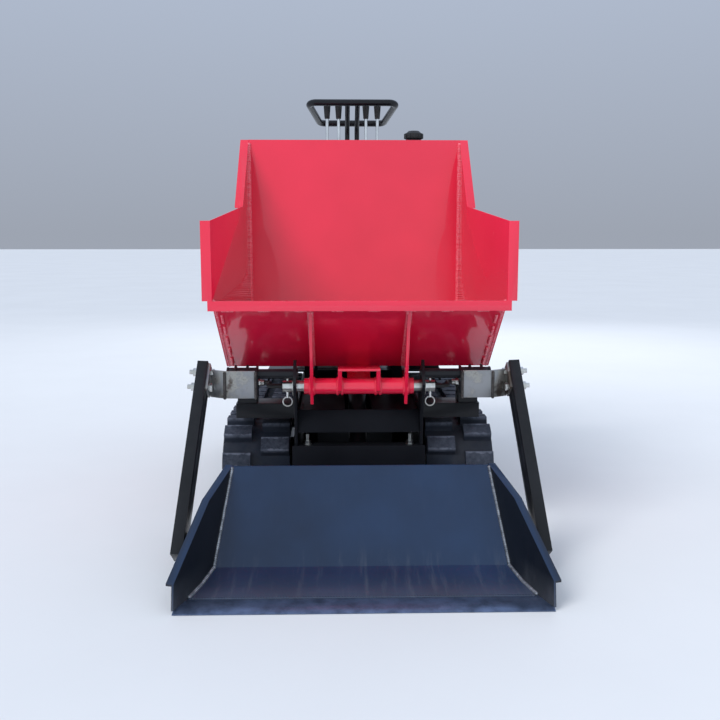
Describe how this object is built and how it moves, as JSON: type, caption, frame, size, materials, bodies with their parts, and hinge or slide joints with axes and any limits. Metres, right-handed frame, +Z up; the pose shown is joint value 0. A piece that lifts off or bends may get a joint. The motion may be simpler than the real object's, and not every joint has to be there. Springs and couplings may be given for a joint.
{
  "type": "tracked power carrier",
  "caption": "Pedestrian tracked dumper: rubber tracks under a steel chassis, red skip that tips forward over its front hinge, and a front shovel on arms that loads the skip.",
  "frame": {"origin": "centre of the bounding box, on the ground", "axes": "+X to the right as seen from the front, -Y forward past the shovel, +Z up; left and right in names are as seen from the front"},
  "size_m": [0.8722, 1.6615, 1.2446],
  "materials": {
    "skip_paint": "glossy",
    "hinge_paint": "glossy",
    "engine_paint": "glossy",
    "black_paint": "satin",
    "bare_steel": "mill finish with heat marks",
    "zinc": "zinc plated",
    "rod_chrome": "polished",
    "track_rubber": "worn",
    "wheel_iron": "painted",
    "engine_alloy": "cast",
    "black_plastic": "moulded"
  },
  "bodies": {
    "chassis": {"side_plate_left": "black_paint", "side_plate_right": "black_paint", "front_panel": "black_paint", "front_channel": "black_paint", "front_studs": "zinc", "belly_plate": "black_paint", "hinge_pin": "zinc", "lift_barrel_left": "black_paint", "lift_barrel_right": "black_paint", "lift_hoses": "black_plastic", "track_frame_left": "black_paint", "track_frame_right": "black_paint", "track_belt_left": "track_rubber", "track_belt_right": "track_rubber", "track_motor_left": "wheel_iron", "track_motor_right": "wheel_iron", "engine_deck": "black_paint", "engine_block": "engine_alloy", "engine_shroud": "engine_paint", "fuel_tank": "engine_paint", "muffler": "wheel_iron", "air_cleaner": "black_plastic", "oil_tank": "black_paint", "console": "black_paint", "valve_block": "wheel_iron", "handle": "black_paint"},
    "skip": {"skip_tub": "skip_paint", "hinge_frame": "hinge_paint"},
    "tip_barrel": {"tip_ram_barrel": "black_paint"},
    "tip_rod": {"tip_ram_rod": "rod_chrome"},
    "loader": {"lift_crank_left": "black_paint", "lift_crank_right": "black_paint", "lift_bracket_left": "bare_steel", "lift_bracket_right": "bare_steel", "lift_arm_left": "black_paint", "lift_arm_right": "black_paint", "arm_bolts": "zinc", "shovel": "black_paint", "cutting_edge": "black_paint"},
    "lift_rod_left": {"lift_rod_left": "rod_chrome"},
    "lift_rod_right": {"lift_rod_right": "rod_chrome"},
    "oil_cap": {"oil_cap": "black_plastic"},
    "sprocket_left": {"sprocket_left": "wheel_iron"},
    "idler_left": {"idler_left": "wheel_iron"},
    "roller_left_1": {"roller_left_1": "wheel_iron"},
    "roller_left_2": {"roller_left_2": "wheel_iron"},
    "roller_left_3": {"roller_left_3": "wheel_iron"},
    "sprocket_right": {"sprocket_right": "wheel_iron"},
    "idler_right": {"idler_right": "wheel_iron"},
    "roller_right_1": {"roller_right_1": "wheel_iron"},
    "roller_right_2": {"roller_right_2": "wheel_iron"},
    "roller_right_3": {"roller_right_3": "wheel_iron"},
    "lever_1": {"lever_1": "rod_chrome", "grip_1": "black_plastic"},
    "lever_2": {"lever_2": "rod_chrome", "grip_2": "black_plastic"},
    "lever_3": {"lever_3": "rod_chrome", "grip_3": "black_plastic"},
    "lever_4": {"lever_4": "rod_chrome", "grip_4": "black_plastic"}
  },
  "joints": [
    {"name": "skip_tip", "type": "hinge", "parent": "chassis", "child": "skip", "pos_m": [0, -0.32075, 0.39], "axis": [1, 0, 0], "range_deg": [0, 70]},
    {"name": "tip_barrel_swing", "type": "hinge", "parent": "chassis", "child": "tip_barrel", "pos_m": [0, -0.23839, 0.13287], "axis": [1, 0, 0], "range_deg": [0, 36]},
    {"name": "tip_rod_swing", "type": "hinge", "parent": "skip", "child": "tip_rod", "pos_m": [0, -0.05106, 0.403], "axis": [1, 0, 0], "range_deg": [-36, 0]},
    {"name": "loader_lift", "type": "hinge", "parent": "chassis", "child": "loader", "pos_m": [0, -0.33575, 0.425], "axis": [1, 0, 0], "range_deg": [-103, 0]},
    {"name": "lift_rod_left_slide", "type": "slide", "parent": "chassis", "child": "lift_rod_left", "axis": [0, 1, 0], "range_m": [-0.0788, 0]},
    {"name": "lift_rod_right_slide", "type": "slide", "parent": "chassis", "child": "lift_rod_right", "axis": [0, 1, 0], "range_m": [-0.0788, 0]},
    {"name": "sprocket_left_spin", "type": "hinge", "parent": "chassis", "child": "sprocket_left", "pos_m": [-0.275, 0.64638, 0.13513], "axis": [1, 0, 0], "continuous": true},
    {"name": "idler_left_spin", "type": "hinge", "parent": "chassis", "child": "idler_left", "pos_m": [-0.275, -0.14562, 0.13513], "axis": [1, 0, 0], "continuous": true},
    {"name": "roller_left_1_spin", "type": "hinge", "parent": "chassis", "child": "roller_left_1", "pos_m": [-0.275, 0.05238, 0.0784], "axis": [1, 0, 0], "continuous": true},
    {"name": "roller_left_2_spin", "type": "hinge", "parent": "chassis", "child": "roller_left_2", "pos_m": [-0.275, 0.25038, 0.0784], "axis": [1, 0, 0], "continuous": true},
    {"name": "roller_left_3_spin", "type": "hinge", "parent": "chassis", "child": "roller_left_3", "pos_m": [-0.275, 0.44838, 0.0784], "axis": [1, 0, 0], "continuous": true},
    {"name": "sprocket_right_spin", "type": "hinge", "parent": "chassis", "child": "sprocket_right", "pos_m": [0.275, 0.64638, 0.13513], "axis": [1, 0, 0], "continuous": true},
    {"name": "idler_right_spin", "type": "hinge", "parent": "chassis", "child": "idler_right", "pos_m": [0.275, -0.14562, 0.13513], "axis": [1, 0, 0], "continuous": true},
    {"name": "roller_right_1_spin", "type": "hinge", "parent": "chassis", "child": "roller_right_1", "pos_m": [0.275, 0.05238, 0.0784], "axis": [1, 0, 0], "continuous": true},
    {"name": "roller_right_2_spin", "type": "hinge", "parent": "chassis", "child": "roller_right_2", "pos_m": [0.275, 0.25038, 0.0784], "axis": [1, 0, 0], "continuous": true},
    {"name": "roller_right_3_spin", "type": "hinge", "parent": "chassis", "child": "roller_right_3", "pos_m": [0.275, 0.44838, 0.0784], "axis": [1, 0, 0], "continuous": true},
    {"name": "lever_1_swing", "type": "hinge", "parent": "chassis", "child": "lever_1", "pos_m": [-0.09, 0.68925, 1.016], "axis": [1, 0, 0], "range_deg": [-10, 10], "stiffness_Nm_per_rad": 8},
    {"name": "lever_2_swing", "type": "hinge", "parent": "chassis", "child": "lever_2", "pos_m": [-0.049, 0.68925, 1.016], "axis": [1, 0, 0], "range_deg": [-10, 10], "stiffness_Nm_per_rad": 8},
    {"name": "lever_3_swing", "type": "hinge", "parent": "chassis", "child": "lever_3", "pos_m": [0.049, 0.68925, 1.016], "axis": [1, 0, 0], "range_deg": [-10, 10], "stiffness_Nm_per_rad": 8},
    {"name": "lever_4_swing", "type": "hinge", "parent": "chassis", "child": "lever_4", "pos_m": [0.09, 0.68925, 1.016], "axis": [1, 0, 0], "range_deg": [-10, 10], "stiffness_Nm_per_rad": 8},
    {"name": "oil_cap_turn", "type": "hinge", "parent": "chassis", "child": "oil_cap", "pos_m": [0.193, 0.35125, 1.0824], "axis": [0, 0, 1], "range_deg": [0, 90]}
  ],
  "couplings": [
    {"joint": "tip_barrel_swing", "follows": "skip_tip", "ratio": 0.5},
    {"joint": "tip_rod_swing", "follows": "skip_tip", "ratio": -0.5},
    {"joint": "lift_rod_left_slide", "follows": "loader_lift", "m_per_rad": 0.043534},
    {"joint": "lift_rod_right_slide", "follows": "loader_lift", "m_per_rad": 0.043534},
    {"joint": "idler_left_spin", "follows": "sprocket_left_spin", "ratio": 1},
    {"joint": "roller_left_1_spin", "follows": "sprocket_left_spin", "ratio": 2.714},
    {"joint": "roller_left_2_spin", "follows": "sprocket_left_spin", "ratio": 2.714},
    {"joint": "roller_left_3_spin", "follows": "sprocket_left_spin", "ratio": 2.714},
    {"joint": "idler_right_spin", "follows": "sprocket_right_spin", "ratio": 1},
    {"joint": "roller_right_1_spin", "follows": "sprocket_right_spin", "ratio": 2.714},
    {"joint": "roller_right_2_spin", "follows": "sprocket_right_spin", "ratio": 2.714},
    {"joint": "roller_right_3_spin", "follows": "sprocket_right_spin", "ratio": 2.714}
  ]
}
